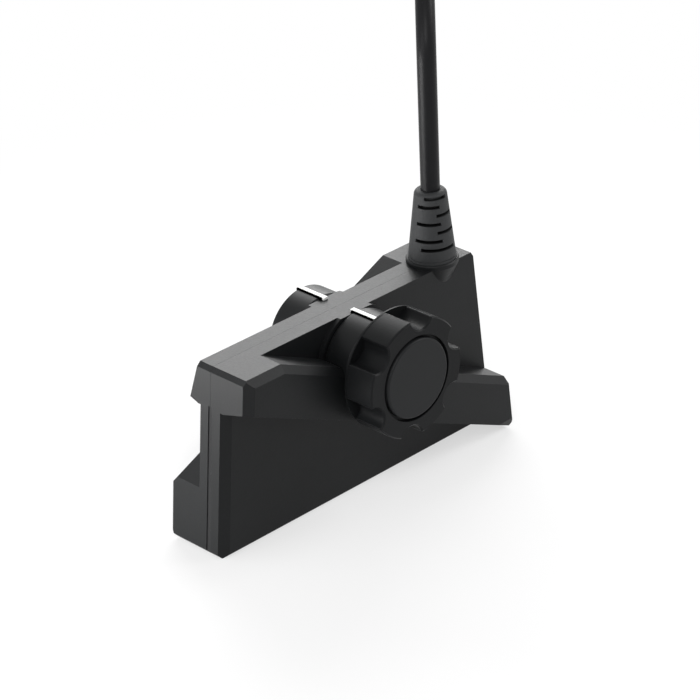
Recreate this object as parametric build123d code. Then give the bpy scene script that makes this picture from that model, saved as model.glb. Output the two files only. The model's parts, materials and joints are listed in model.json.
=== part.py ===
from build123d import *
import math
import os

os.makedirs("parts", exist_ok=True)

# Sonar transducer on a lead. Millimetres, +X towards the end with the lead,
# -Y towards the hand knob, +Z up. The origin is on the underside of the body,
# at mid length, in the plane where the two half housings meet.

# Body
BODY_LENGTH = 131.4
BODY_HEIGHT = 68.0
SLAB_THICKNESS = 12.4
END_LEAN = 5.7
END_EDGE_RUN = 1.0
END_EDGE_DROP = 1.8
END_FACET_LENGTH = 4.0
END_FACET_DEPTH = 1.5
BASE_EDGE = 0.8
WALL = 2.3
RIM = 4.2

# Wings: one runs down towards +X on the near side, its twin up on the far side
WING_REACH = 18.0
WING_SLOPE = math.degrees(math.atan(0.8664 * BODY_HEIGHT / BODY_LENGTH))
NEAR_WING_CREST = 0.719 * BODY_HEIGHT
FAR_WING_CREST = 0.759 * BODY_HEIGHT
WING_KEEL = 0.437 * BODY_HEIGHT
WING_ROOT_DROP = 3.5
WING_TOP_BEVEL = 2.5
WING_END_BEVEL = 1.6
WING_LOW_END_BEVEL = 0.4

# Lip under the top edge of the far side, from the hub to the near end
LIP_REACH = 9.7
LIP_DEPTH = 13.5
LIP_ROOT_DROP = 1.2

# Seam
SEAM_GAP = 1.8
SEAM_TOP = BODY_HEIGHT - 14.0
SEAM_RECESS = 0.3
JOINT_GAP = 0.06

# Hub
HUB_HEIGHT = BODY_HEIGHT - 15.6
HUB_RADIUS = 16.2
HUB_REACH = 19.0
HUB_SEAT_RADIUS = 17.2
HUB_SEAT_REACH = 7.8
HUB_CORE_RADIUS = 11.0
HUB_CORE_REACH = 18.2
RING_CLEARANCE = 0.08
RING_EDGE = 0.7
MARK_WIDTH = 2.4
MARK_SHIFT = 0.65
MARK_LENGTH = 10.2
MARK_DEPTH = 1.4
MARK_PROUD = 0.25

# Pivot
STUD_RADIUS = 4.0
STUD_CLEARANCE = 0.06
STUD_PROUD = 8.0
SLEEVE_RADIUS = 6.0
SLEEVE_FLANGE_RADIUS = 9.5
SEAL_RADIUS = 7.4
SEAL_WIDTH = 1.8
SEAL_REACH = 14.0
CLIP_RADIUS = 7.0
CLIP_THICKNESS = 0.6
WASHER_RADIUS = 15.0
WASHER_THICKNESS = 0.8
HEAD_ACROSS_FLATS = 13.0
HEAD_HEIGHT = 5.3

# Hand knob
KNOB_RADIUS = 21.5
KNOB_DEPTH = 15.2
KNOB_GAP = 0.3
KNOB_FLANGE = 3.5
KNOB_FLANGE_STEP = 0.1
FLUTES = 6
FLUTE_TURN = 81.7
FLUTE_RADIUS = 5.0
FLUTE_AXIS = 22.2
LOBE_CORNER = 0.6
KNOB_FRONT_EDGE = 0.5
KNOB_BACK_EDGE = 0.6
KNOB_HOLLOW_OUTER = 14.0
KNOB_HOLLOW_INNER = 9.5
KNOB_HOLLOW_DEPTH = 9.0
KNOB_RIB = 2.0
CAP_RADIUS = 14.2
CAP_THICKNESS = 3.2
CAP_PROUD = 0.6
CAP_EDGE = 0.5
CAP_CLEARANCE = 0.1
CAP_GROOVE = 1.1
CAP_GROOVE_DEPTH = 1.6

# Sound heads in the wings
HEAD_SPACING = 0.2588 * BODY_LENGTH
HEAD_LENGTH = 0.236 * BODY_LENGTH
HEAD_WIDTH = 9.0
HEAD_CLEARANCE = 0.6
WINDOW_FLOOR = 15.2
WINDOW_THICKNESS = 1.2
CERAMIC_THICKNESS = 2.5
BACKING_THICKNESS = 6.5
ELEMENTS = 16
KERF = 0.4
KERF_DEPTH = 1.9

# Electronics
BOARD_THICKNESS = 1.6
BOARD_INSET = 1.0
BOARD_HUB_HOLE = 14.0
POST_RADIUS = 2.2
POST_GAP = 0.05
POST_SPREAD = 0.38 * BODY_LENGTH
LOW_POST_SPREAD = 0.167 * BODY_LENGTH
LOW_POST_HEIGHT = 0.14 * BODY_HEIGHT
HEADER_LENGTH = 12.0
HEADER_WIDTH = 4.0
HEADER_SHIFT = 4.0
CHIP_HEIGHT = 1.3
# each chip: its place as shares of the body's length and height, and its width
CHIPS = ((-0.23, 0.485, 9), (-0.35, 0.294, 7), (0.236, 0.56, 7), (-0.046, 0.294, 8),
         (0.068, 0.147, 6), (0.35, 0.176, 7))
BOARD_NOTCH = (19.0, 5.0)

# Lead and strain relief
LEAD_DIAMETER = 6.7
LEAD_PLACE = BODY_LENGTH / 2 - 20.6
LEAD_CLEARANCE = 0.05
BOSS_RADIUS = 9.2
BOSS_DEPTH = 9.0
BOSS_RISE = 1.7
BOSS_EDGE = 0.4
RELIEF_HEIGHT = 25.3
RELIEF_LIP_RADIUS = 8.5
RELIEF_LIP_HEIGHT = 0.9
RELIEF_BASE_RADIUS = 8.2
RELIEF_BASE_HEIGHT = 2.0
RELIEF_NECK_RADIUS = 7.85
RELIEF_NECK_HEIGHT = 4.9
RELIEF_TOP_RADIUS = 5.55
RELIEF_TOP_ROUND = 1.8
RELIEF_SPIGOT_RADIUS = 4.9
RELIEF_SPIGOT_LENGTH = 7.2
# the boot's slots from the top row down: the way the row faces, and how far each slot of it goes round
SLOT_ROWS = ((243, 85), (216, 78), (276, 70), (216, 78), (276, 70), (216, 80), (245, 100))
SLOT_PITCH = 3.07
SLOT_HEIGHT = 1.2
SLOT_FIRST = 1.6
SLOT_SLEEVE = 1.1
SLOTS_PER_ROW = 2
FERRULE_LENGTH = 4.0
FERRULE_RADIUS = 4.6
LEAD_TAIL = 12.5
WIRE_RADIUS = 0.6
WIRES = 4

# Route of the lead, from the top of the strain relief to the hank behind the body
ROUTE = [
    (LEAD_PLACE, 0.0, BODY_HEIGHT + BOSS_RISE + RELIEF_HEIGHT),
    (LEAD_PLACE, 0.0, 150.0),
    (61.1, 15.6, 172.3),
    (83.5, 37.5, 172.3),
    (99.5, 53.0, 150.0),
    (104.2, 57.6, 108.0),
    (102.7, 56.2, 70.0),
    (92.0, 45.7, 40.5),
    (71.5, 28.5, 29.6),
    (50.5, 19.2, 24.8),
]
ARC_SHARE = 0.45

# Hank of the put-away lead, on the ground behind the body
HANK_CENTRE = (35.0, 37.6)
HANK_LENGTH = 112.0
HANK_COLUMNS = 2
HANK_ROWS = 4
HANK_FOLD = 6.0
HANK_EDGE = 2.5
HANK_CLEARANCE = 0.3
TIE_WIDTH = 8.0
TIE_THICKNESS = 0.8

# Stretch from the hank's outer turn to the plug, then the plug, lying on the ground
PLUG_GAP = 24.0
PLUG_RADIUS = 5.9
PLUG_BODY_LENGTH = 17.0
PLUG_TAIL_RADIUS = 4.5
PLUG_TAIL_LENGTH = 8.0
PLUG_RING_RADIUS = 6.6
PLUG_RING_LENGTH = 10.0
PLUG_RING_GRIPS = 16
PLUG_SHELL_RADIUS = 4.8
PLUG_SHELL_WALL = 0.8
PLUG_SHELL_FLOOR = 3.0
PLUG_PINS = 6
PIN_RADIUS = 0.5
PIN_LENGTH = 6.0

HALF_SLAB = SLAB_THICKNESS / 2
LEAN = math.tan(math.radians(END_LEAN))
RISE = math.tan(math.radians(WING_SLOPE))
HEAD_AXIS = (NEAR_WING_CREST + WING_KEEL) / 2
CERAMIC_REACH = WINDOW_FLOOR - WINDOW_THICKNESS
BACKING_REACH = CERAMIC_REACH - CERAMIC_THICKNESS
HEADER_REACH = BACKING_REACH - BACKING_THICKNESS
KNOB_BACK = HUB_REACH + WASHER_THICKNESS + KNOB_GAP
KNOB_FRONT = KNOB_BACK + KNOB_DEPTH
LEAD_RADIUS = LEAD_DIAMETER / 2
LEAD_BORE = LEAD_RADIUS + LEAD_CLEARANCE
LEAD_END = BODY_HEIGHT - LEAD_TAIL
RELIEF_SEAT = BODY_HEIGHT + BOSS_RISE
HANK_HOLE_WIDTH = (HANK_FOLD - 1) * LEAD_DIAMETER
HANK_WIDTH = HANK_HOLE_WIDTH + 2 * HANK_COLUMNS * LEAD_DIAMETER
HANK_TOP = TIE_THICKNESS + HANK_ROWS * LEAD_DIAMETER
HANK_SLOPE = LEAD_DIAMETER + HANK_EDGE
HANK_STRAIGHT = (HANK_LENGTH - HANK_WIDTH) / 2
OUTER_TURN = (HANK_WIDTH - LEAD_DIAMETER) / 2
END_START = (HANK_CENTRE[0] + HANK_STRAIGHT, HANK_CENTRE[1] + OUTER_TURN, TIE_THICKNESS + LEAD_RADIUS)
PLUG_START = END_START[0] + PLUG_GAP
END_ROUTE = [
    END_START,
    (END_START[0] + PLUG_GAP / 3, END_START[1], END_START[2] + 0.25),
    (END_START[0] + 2 * PLUG_GAP / 3, END_START[1], PLUG_RING_RADIUS - 0.25),
    (PLUG_START, END_START[1], PLUG_RING_RADIUS),
]
SIDES = (("near", 0), ("far", 180))


def end_at(z):
    """Distance of the leaning end face from mid length, at height z."""
    return BODY_LENGTH / 2 - LEAN * z


def prism(points, start, stop):
    """A solid with an outline in X and Z, between two distances along Y."""
    outline = make_face(Polyline(*[(x, start, z) for x, z in points], close=True))
    return extrude(outline, amount=abs(stop - start), dir=(0, math.copysign(1, stop - start), 0))


def rod(radius, start, stop, x=0.0, z=HUB_HEIGHT):
    """A round bar along Y."""
    return Pos(x, (start + stop) / 2, z) * Rot(90, 0, 0) * Cylinder(radius, abs(stop - start))


def post(radius, low, high, x=0.0, y=0.0):
    """A round bar along Z."""
    return Pos(x, y, (low + high) / 2) * Cylinder(radius, high - low)


def together(pieces):
    """Several solids kept as one part."""
    return Compound([solid for piece in pieces for solid in piece.solids()])


def trapezoid(inset, low, high):
    """Corners of the slab's outline, moved in from the ends by the inset."""
    return [
        (-end_at(low) + inset, low),
        (end_at(low) - inset, low),
        (end_at(high) - inset, high),
        (-end_at(high) + inset, high),
    ]


def head_block(place, length, width, start, stop):
    """A block in line with the wing, at a place along the body, between two reaches."""
    centre = Pos(place, -(start + stop) / 2, HEAD_AXIS - RISE * place)
    return centre * Rot(0, WING_SLOPE, 0) * Box(length, abs(stop - start), width)


# Half housings
def slab_half():
    """One half of the central slab, with facets at both ends below the wing's root."""
    slab = prism(trapezoid(0, 0, BODY_HEIGHT), -JOINT_GAP / 2, -HALF_SLAB)
    outer = slab.faces().sort_by(Axis.Y)[0]
    return chamfer(outer.edges().sort_by(Axis.Z)[:1], BASE_EDGE)


def end_facet(end, low, high):
    """The sliver cut from one vertical corner of the slab."""
    corners = []
    for z in (low, high):
        tip = end * end_at(z)
        back = end * (end_at(z) - END_FACET_LENGTH)
        beyond = end * (end_at(z) + 1)
        corners.append([(tip, -HALF_SLAB + END_FACET_DEPTH, z), (back, -HALF_SLAB, z),
                        (back, -HALF_SLAB - 1, z), (beyond, -HALF_SLAB - 1, z),
                        (beyond, -HALF_SLAB + END_FACET_DEPTH, z)])
    return loft([make_face(Polyline(*ring, close=True)) for ring in corners])


def wing(crest):
    """The diagonal band: level with the top at one end, down to the ground at the other."""
    keel = WING_KEEL - WING_ROOT_DROP
    near_x, far_x = -end_at(0), end_at(0)
    flat_end = (crest - BODY_HEIGHT) / RISE
    high_z = (keel + RISE * BODY_LENGTH / 2) / (1 + RISE * LEAN)
    low_z = (crest - RISE * BODY_LENGTH / 2) / (1 - RISE * LEAN)
    outline = [
        (-end_at(high_z), high_z),
        (-end_at(BODY_HEIGHT), BODY_HEIGHT),
        (flat_end, BODY_HEIGHT),
        (end_at(low_z), low_z),
        (far_x, 0),
        (keel / RISE, 0),
    ]
    band = prism(outline, -JOINT_GAP / 2, -WING_REACH)
    # the underside rises from the root to the outer face
    root = [(near_x - 2, keel + RISE * (-near_x + 2)), (near_x - 2, 0)]
    z0 = root[0][1]
    lean = WING_ROOT_DROP / (WING_REACH - HALF_SLAB)
    wedge = make_face(Polyline(
        (near_x - 2, -HALF_SLAB, z0),
        (near_x - 2, -WING_REACH - 2, z0 + lean * (WING_REACH + 2 - HALF_SLAB)),
        (near_x - 2, -WING_REACH - 2, z0 - 12),
        (near_x - 2, -HALF_SLAB, z0 - 12),
        close=True,
    ))
    run = BODY_LENGTH + 12
    band -= extrude(wedge, amount=run / math.cos(math.radians(WING_SLOPE)), dir=(1, 0, -RISE))
    outer = band.faces().sort_by(Axis.Y)[0].edges()
    top = [e for e in outer if e.center().Z > WING_KEEL + 3 - RISE * e.center().X
           and abs(e.tangent_at(0.5).X) > 0.5]
    band = chamfer(top, WING_TOP_BEVEL)
    for end, bevel in ((-1, WING_END_BEVEL), (1, WING_LOW_END_BEVEL)):
        outer = band.faces().sort_by(Axis.Y)[0].edges()
        upright = [e for e in outer if abs(e.tangent_at(0.5).X) < 0.5 and end * e.center().X > BODY_LENGTH / 4]
        band = chamfer(upright, bevel)
    return band


def lip():
    """The flared lip under the top edge, on the far half only."""
    top = BODY_HEIGHT - 0.02
    section = make_face(Polyline(
        (0, -JOINT_GAP, top),
        (0, -HALF_SLAB, top),
        (0, -LIP_REACH, BODY_HEIGHT - LIP_DEPTH),
        (0, -HALF_SLAB + 0.5, BODY_HEIGHT - LIP_DEPTH - LIP_ROOT_DROP),
        (0, -JOINT_GAP, BODY_HEIGHT - LIP_DEPTH - LIP_ROOT_DROP),
        close=True,
    ))
    return extrude(section, amount=BODY_LENGTH / 2 + 1, dir=(1, 0, 0))


def outside_ends():
    """What lies past the two leaning end faces and their top edges."""
    top, far = BODY_HEIGHT + 1, BODY_LENGTH / 2 + 10
    edge_x = end_at(BODY_HEIGHT) - END_EDGE_RUN
    edge_z = BODY_HEIGHT - END_EDGE_DROP
    step = END_EDGE_RUN * 1.0 / END_EDGE_DROP
    outline = [
        (end_at(-1), -1), (end_at(edge_z), edge_z), (edge_x, BODY_HEIGHT),
        (edge_x - step, top), (far, top), (far, -1),
    ]
    reach = WING_REACH + 5
    block = prism(outline, reach, -reach)
    return block + mirror(block, Plane.YZ)


def cable_boss():
    """The swelling under the strain relief, and the raised pad that the boot stands on."""
    swelling = Pos(0, 0, BODY_HEIGHT - BOSS_DEPTH / 2) * Cone(HALF_SLAB - 1.2, BOSS_RADIUS, BOSS_DEPTH)
    pad = post(BOSS_RADIUS, BODY_HEIGHT, RELIEF_SEAT)
    return swelling + chamfer(pad.faces().sort_by(Axis.Z)[-1].edges(), BOSS_EDGE)


def half_housing(name):
    """One half housing, built on the near side."""
    near = name == "near"
    lead_x = LEAD_PLACE if near else -LEAD_PLACE
    slab = slab_half()
    facet_top = BODY_HEIGHT - LIP_DEPTH - LIP_ROOT_DROP
    slab -= end_facet(-1, -0.5, facet_top)
    if not near:
        slab -= end_facet(1, -0.5, facet_top)
    shell = slab + wing(NEAR_WING_CREST if near else FAR_WING_CREST)
    if not near:
        shell += lip()
    half_space = Pos(0, -BODY_LENGTH / 2 - JOINT_GAP / 2, BODY_HEIGHT / 2) * Box(
        2 * BODY_LENGTH, BODY_LENGTH, 2 * BODY_HEIGHT)
    shell += Pos(lead_x, 0, 0) * cable_boss() & half_space
    shell -= outside_ends()
    # hub: a seat, then a core that carries the ring
    shell += rod(HUB_SEAT_RADIUS, -HALF_SLAB + 1, -HUB_SEAT_REACH)
    shell -= rod(HUB_RADIUS + RING_CLEARANCE, -HUB_SEAT_REACH, -WING_REACH - 1)
    shell += rod(HUB_CORE_RADIUS, -JOINT_GAP / 2, -HUB_CORE_REACH)
    # seam: the band that the gasket fills
    seam = prism(trapezoid(-1, -1, SEAM_TOP), 0, -SEAM_GAP / 2)
    seam -= prism(trapezoid(RIM, RIM, SEAM_TOP + 1), 1, -SEAM_GAP)
    shell -= seam
    # room for the electronics, around the hub's core and under the lead
    room = prism(trapezoid(RIM, RIM, BODY_HEIGHT - RIM), 0, -HALF_SLAB + WALL)
    room -= rod(HUB_CORE_RADIUS, 1, -HALF_SLAB)
    room -= Pos(lead_x, 0, BODY_HEIGHT) * Box(2 * BOSS_RADIUS, 4 * HALF_SLAB, 2 * (BOSS_DEPTH + 3))
    shell -= room
    for place in (-HEAD_SPACING, HEAD_SPACING):
        size = (HEAD_LENGTH + 2 * HEAD_CLEARANCE, HEAD_WIDTH + 2 * HEAD_CLEARANCE)
        shell -= head_block(place, *size, 0, WINDOW_FLOOR)
    for x, z in post_places():
        stop = -BOARD_THICKNESS / 2 - POST_GAP
        shell += rod(POST_RADIUS, -HALF_SLAB + WALL / 2, stop, x, z)
    # bores: the pivot sleeve, its flange and seal, and the lead's way in
    shell -= rod(SLEEVE_RADIUS + JOINT_GAP, 1, -HUB_REACH - 1)
    shell -= rod(SEAL_RADIUS + JOINT_GAP, -SEAL_REACH, -SEAL_REACH - SEAL_WIDTH - JOINT_GAP)
    shell -= post(RELIEF_SPIGOT_RADIUS + JOINT_GAP, RELIEF_SEAT - RELIEF_SPIGOT_LENGTH - FERRULE_LENGTH,
                  RELIEF_SEAT + 1, lead_x)
    shell -= post(LEAD_BORE, LEAD_END - 6, BODY_HEIGHT, lead_x)
    return shell


def post_places():
    """Where the posts stand that hold the board, between the sound heads."""
    return [(end * POST_SPREAD, HEAD_AXIS) for end in (-1, 1)] + [
        (end * LOW_POST_SPREAD, LOW_POST_HEIGHT) for end in (-1, 1)]


# Seam and hub
def seam_gasket():
    """The band between the halves, level with them underneath and a little below them at the ends."""
    outer = prism(trapezoid(SEAM_RECESS, 0, SEAM_TOP - JOINT_GAP), SEAM_GAP / 2, -SEAM_GAP / 2)
    inner = prism(trapezoid(RIM - JOINT_GAP, RIM - JOINT_GAP, SEAM_TOP + 1), SEAM_GAP, -SEAM_GAP)
    return outer - inner


def hub_ring(side):
    """The ring around the hub's core, with a pocket for its index mark."""
    ring = rod(HUB_RADIUS, -HUB_SEAT_REACH, -HUB_REACH)
    ring = chamfer(ring.edges().filter_by(GeomType.CIRCLE), RING_EDGE)
    ring -= rod(HUB_CORE_RADIUS + RING_CLEARANCE, 0, -HUB_REACH - 1)
    return ring - index_mark(side)


def index_mark(side):
    """The pale bar let into the top of the ring, off its middle to the same side on both rings."""
    middle = -(HUB_SEAT_REACH + HUB_REACH) / 2
    top = HUB_HEIGHT + HUB_RADIUS + MARK_PROUD
    shift = -MARK_SHIFT if side == "near" else MARK_SHIFT
    bar = Pos(shift, middle, top - MARK_DEPTH / 2) * Box(MARK_WIDTH, MARK_LENGTH, MARK_DEPTH)
    return bar & rod(HUB_RADIUS + MARK_PROUD, 0, -HUB_REACH)


def hub_sleeve():
    tube = rod(SLEEVE_RADIUS, -HUB_REACH, HUB_CORE_REACH)
    tube += rod(SLEEVE_FLANGE_RADIUS, -HUB_REACH, -HUB_CORE_REACH)
    return tube - rod(STUD_RADIUS + STUD_CLEARANCE, -HUB_REACH - 1, HUB_REACH)


def hub_seal():
    ring = rod(SEAL_RADIUS, -SEAL_REACH, -SEAL_REACH - SEAL_WIDTH)
    return ring - rod(SLEEVE_RADIUS, 0, -HUB_REACH)


def thrust_washer():
    disc = rod(WASHER_RADIUS, -HUB_REACH, -HUB_REACH - WASHER_THICKNESS)
    return disc - rod(STUD_RADIUS + 4 * STUD_CLEARANCE, 0, -KNOB_BACK)


# Hand knob
def knob_outline():
    """The outline of the knob's grip: a disc with round scoops, the first a little past the top."""
    disc = Circle(KNOB_RADIUS - KNOB_FLANGE_STEP)
    for n in range(FLUTES):
        disc -= Rot(0, 0, FLUTE_TURN + n * 360 / FLUTES) * Pos(FLUTE_AXIS, 0) * Circle(FLUTE_RADIUS)
    return fillet(disc.vertices(), LOBE_CORNER)


def knob():
    """The grip's scoops are closed at the back by a full flange."""
    plane = Plane((0, -KNOB_BACK - KNOB_FLANGE + 0.5, HUB_HEIGHT), x_dir=(1, 0, 0), z_dir=(0, -1, 0))
    body = extrude(plane * knob_outline(), amount=KNOB_DEPTH - KNOB_FLANGE + 0.5)
    body = chamfer(body.faces().sort_by(Axis.Y)[0].edges(), KNOB_FRONT_EDGE)
    flange = rod(KNOB_RADIUS, -KNOB_BACK, -KNOB_BACK - KNOB_FLANGE)
    body += chamfer(flange.faces().sort_by(Axis.Y)[-1].edges(), KNOB_BACK_EDGE)
    # seat and groove of the cap
    body -= rod(CAP_RADIUS + CAP_CLEARANCE, -KNOB_FRONT + CAP_THICKNESS - CAP_PROUD, -KNOB_FRONT - 1)
    body -= rod(CAP_RADIUS + CAP_GROOVE, -KNOB_FRONT + CAP_GROOVE_DEPTH, -KNOB_FRONT - 1)
    # hollow back with ribs
    hollow = rod(KNOB_HOLLOW_OUTER, -KNOB_BACK + 1, -KNOB_BACK - KNOB_HOLLOW_DEPTH)
    hollow -= rod(KNOB_HOLLOW_INNER, 0, -KNOB_FRONT)
    for n in range(FLUTES // 2):
        turn = Rot(0, -FLUTE_TURN + n * 360 / FLUTES, 0)
        bar = Box(KNOB_HOLLOW_OUTER * 2, KNOB_DEPTH * 3, KNOB_RIB)
        hollow -= Pos(0, -KNOB_BACK, HUB_HEIGHT) * turn * bar
    body -= hollow
    body -= stud(0.0)
    return body


def knob_cap():
    disc = rod(CAP_RADIUS, -KNOB_FRONT + CAP_THICKNESS - CAP_PROUD, -KNOB_FRONT - CAP_PROUD)
    front = disc.faces().sort_by(Axis.Y)[0]
    return chamfer(front.edges(), CAP_EDGE)


def stud(clip_groove=0.3):
    """The hexagon-headed stud: its head is held in the knob, its end stands out of the far hub."""
    head_face = -KNOB_FRONT + CAP_THICKNESS - CAP_PROUD
    plane = Plane((0, head_face, HUB_HEIGHT), x_dir=(1, 0, 0), z_dir=(0, 1, 0))
    hexagon = RegularPolygon(HEAD_ACROSS_FLATS / 2, 6, major_radius=False)
    head = extrude(plane * hexagon, amount=HEAD_HEIGHT)
    shank = rod(STUD_RADIUS, head_face, HUB_REACH + STUD_PROUD)
    if clip_groove:
        shank = chamfer(shank.edges().filter_by(GeomType.CIRCLE).sort_by(Axis.Y)[-1:], STUD_RADIUS / 6)
        groove = rod(STUD_RADIUS + 1, *clip_span()) - rod(STUD_RADIUS - clip_groove, *clip_span())
        shank -= groove
    return head + shank


def clip_span():
    start = HUB_REACH + JOINT_GAP - (HUB_REACH - HUB_CORE_REACH) / 2 - CLIP_THICKNESS / 2
    return start, start + CLIP_THICKNESS


def stud_clip():
    """The open clip that keeps the stud in the hub."""
    ring = rod(CLIP_RADIUS, *clip_span()) - rod(STUD_RADIUS - 0.3, 0, HUB_REACH + 1)
    mouth = Pos(0, HUB_REACH, HUB_HEIGHT - CLIP_RADIUS) * Box(STUD_RADIUS * 1.5, 4, CLIP_RADIUS * 2)
    return ring - mouth


# Sound heads and electronics
def ceramic(place):
    """A bar of ceramic, sawn into elements from the back."""
    bar = head_block(place, HEAD_LENGTH, HEAD_WIDTH, BACKING_REACH, CERAMIC_REACH)
    pitch = HEAD_LENGTH / ELEMENTS
    for n in range(1, ELEMENTS):
        along = (n - ELEMENTS / 2) * pitch
        turn = math.radians(WING_SLOPE)
        x = place + along * math.cos(turn)
        z = HEAD_AXIS - RISE * place - along * math.sin(turn)
        cut = Pos(x, -BACKING_REACH - KERF_DEPTH / 2, z) * Rot(0, WING_SLOPE, 0)
        bar -= cut * Box(KERF, KERF_DEPTH, HEAD_WIDTH + 1)
    return bar


def array_headers():
    """One connector between each sound head's backing and the board."""
    blocks = []
    for _, turn in SIDES:
        for place in (HEADER_SHIFT - HEAD_SPACING, HEAD_SPACING - HEADER_SHIFT):
            blocks.append(Rot(0, 0, turn) * head_block(
                place, HEADER_LENGTH, HEADER_WIDTH, BOARD_THICKNESS / 2, HEADER_REACH))
    return together(blocks)


def main_board():
    edge = RIM + BOARD_INSET
    board = prism(trapezoid(edge, edge, BODY_HEIGHT - edge), BOARD_THICKNESS / 2, -BOARD_THICKNESS / 2)
    board -= rod(BOARD_HUB_HOLE, 5, -5)
    width, below = BOARD_NOTCH
    return board - Pos(LEAD_PLACE, 0, BODY_HEIGHT) * Box(width, SLAB_THICKNESS, 2 * (LEAD_TAIL + below))


def board_chips():
    """Chips and the lead's connector, seated on both faces of the board."""
    chips = []
    for along, up, size in CHIPS:
        x, z = along * BODY_LENGTH, up * BODY_HEIGHT
        for _, turn in SIDES[: 1 if size == 9 else 2]:
            side = -1 if turn == 0 else 1
            y = side * (BOARD_THICKNESS + CHIP_HEIGHT) / 2
            chips.append(Pos(x, y, z) * Box(size, CHIP_HEIGHT, size))
    return together(chips)


# Lead
def relief_radius(height):
    """Radius of the taper at a height above the lip."""
    share = (height - RELIEF_NECK_HEIGHT) / (RELIEF_HEIGHT - RELIEF_NECK_HEIGHT)
    return RELIEF_NECK_RADIUS + share * (RELIEF_TOP_RADIUS - RELIEF_NECK_RADIUS)


def strain_relief():
    """The tapered boot, slotted in staggered rows so that it bends with the lead."""
    outline = Polyline(
        (0, -RELIEF_SPIGOT_LENGTH), (RELIEF_SPIGOT_RADIUS, -RELIEF_SPIGOT_LENGTH),
        (RELIEF_SPIGOT_RADIUS, 0), (RELIEF_LIP_RADIUS, 0), (RELIEF_LIP_RADIUS, RELIEF_LIP_HEIGHT),
        (RELIEF_BASE_RADIUS, RELIEF_LIP_HEIGHT), (RELIEF_BASE_RADIUS, RELIEF_BASE_HEIGHT),
        (RELIEF_NECK_RADIUS, RELIEF_NECK_HEIGHT), (RELIEF_TOP_RADIUS, RELIEF_HEIGHT),
        (0, RELIEF_HEIGHT), close=True,
    )
    boot = revolve(make_face(Plane.XZ * outline), Axis.Z)
    boot = fillet(boot.faces().sort_by(Axis.Z)[-1].edges(), RELIEF_TOP_ROUND)
    inner = LEAD_BORE + SLOT_SLEEVE
    for row, (middle, span) in enumerate(SLOT_ROWS):
        height = RELIEF_HEIGHT - SLOT_FIRST - row * SLOT_PITCH
        outer = relief_radius(height) + 2
        for n in range(SLOTS_PER_ROW):
            boot -= slot_cut(height, inner, outer, middle + n * 360 / SLOTS_PER_ROW, span)
    boot -= post(LEAD_BORE, -RELIEF_SPIGOT_LENGTH - 1, RELIEF_HEIGHT + 1)
    return Pos(LEAD_PLACE, 0, RELIEF_SEAT) * boot


def slot_cut(height, inner, outer, middle, span):
    """One arc-shaped slot about the boot's axis."""
    section = Pos((inner + outer) / 2, 0, height) * Rot(90, 0, 0) * Rectangle(outer - inner, SLOT_HEIGHT)
    section = Rot(0, 0, middle - span / 2) * section
    return revolve(section, Axis.Z, span)


def lead_ferrule():
    """The metal ferrule crimped on the lead below the boot's spigot."""
    top = RELIEF_SEAT - RELIEF_SPIGOT_LENGTH
    ring = post(FERRULE_RADIUS, top - FERRULE_LENGTH + JOINT_GAP, top, LEAD_PLACE)
    return ring - post(LEAD_RADIUS, 0, BODY_HEIGHT, LEAD_PLACE)


def lead_inner():
    return post(LEAD_RADIUS, LEAD_END, RELIEF_SEAT + RELIEF_HEIGHT, LEAD_PLACE)


def lead_wires():
    """The lead's cores, from its cut end down to the board."""
    board_top = LEAD_END - BOARD_NOTCH[1]
    wires = []
    for n in range(WIRES):
        x = LEAD_PLACE + (n - (WIRES - 1) / 2) * 1.5
        wires.append(post(WIRE_RADIUS, board_top, LEAD_END, x))
    return together(wires)


def rounded(route):
    """A route as runs joined by arcs, and the radius of each arc."""
    points = [Vector(*p) for p in route]
    radii = []
    for before, here, after in zip(points, points[1:], points[2:]):
        turn = (here - before).get_angle(after - here)
        shorter = min((here - before).length, (after - here).length)
        radii.append(ARC_SHARE * shorter / math.tan(math.radians(turn / 2)))
    return FilletPolyline(*points, radius=radii), radii


def lead_tube(route, clearance=0.0):
    """A free stretch of the lead, or the groove that it lies in."""
    path, _ = rounded(route)
    start = Plane(origin=path @ 0, z_dir=path % 0)
    return sweep(start * Circle(LEAD_RADIUS + clearance), path=path)


def tell(name, route):
    """Prints a stretch's radii, its length and its volume beside section times length."""
    path, radii = rounded(route)
    section = math.pi * LEAD_RADIUS**2 * path.length
    print(name, "radii", [round(r, 1) for r in radii], "length", round(path.length, 1))
    print(name, "volume", round(lead_tube(route).volume), "section by length", round(section))


def oval(length, width, low, high, edge=0.0):
    """A round-ended block about the hank's centre."""
    outline = Plane((*HANK_CENTRE, low)) * SlotOverall(length, width)
    block = extrude(outline, amount=high - low)
    if edge:
        block = chamfer(block.faces().sort_by(Axis.Z)[-1].edges(), edge)
    return block


def lead_hank():
    """The outer shape of the put-away turns."""
    ring = oval(HANK_LENGTH, HANK_WIDTH, TIE_THICKNESS, HANK_TOP, HANK_SLOPE)
    hole_length = 2 * HANK_STRAIGHT + HANK_HOLE_WIDTH
    ring -= oval(hole_length, HANK_HOLE_WIDTH, 0, HANK_TOP + 1)
    return ring - lead_tube(ROUTE, HANK_CLEARANCE) - lead_tube(END_ROUTE, HANK_CLEARANCE)


def hank_tie():
    """The strap around the hank."""
    x, y = HANK_CENTRE
    high = HANK_TOP + TIE_THICKNESS
    wide = HANK_WIDTH + 2 * TIE_THICKNESS
    edge = HANK_SLOPE + TIE_THICKNESS / 2
    band = Pos(x, y, high / 2) * Box(TIE_WIDTH, wide, high)
    band = chamfer(band.edges().filter_by(Axis.X).sort_by(Axis.Z)[-2:], edge)
    hole = Pos(x, y, (TIE_THICKNESS + HANK_TOP) / 2) * Box(TIE_WIDTH + 1, HANK_WIDTH, HANK_TOP - TIE_THICKNESS)
    hole = chamfer(hole.edges().filter_by(Axis.X).sort_by(Axis.Z)[-2:], HANK_SLOPE)
    return band - hole


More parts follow.
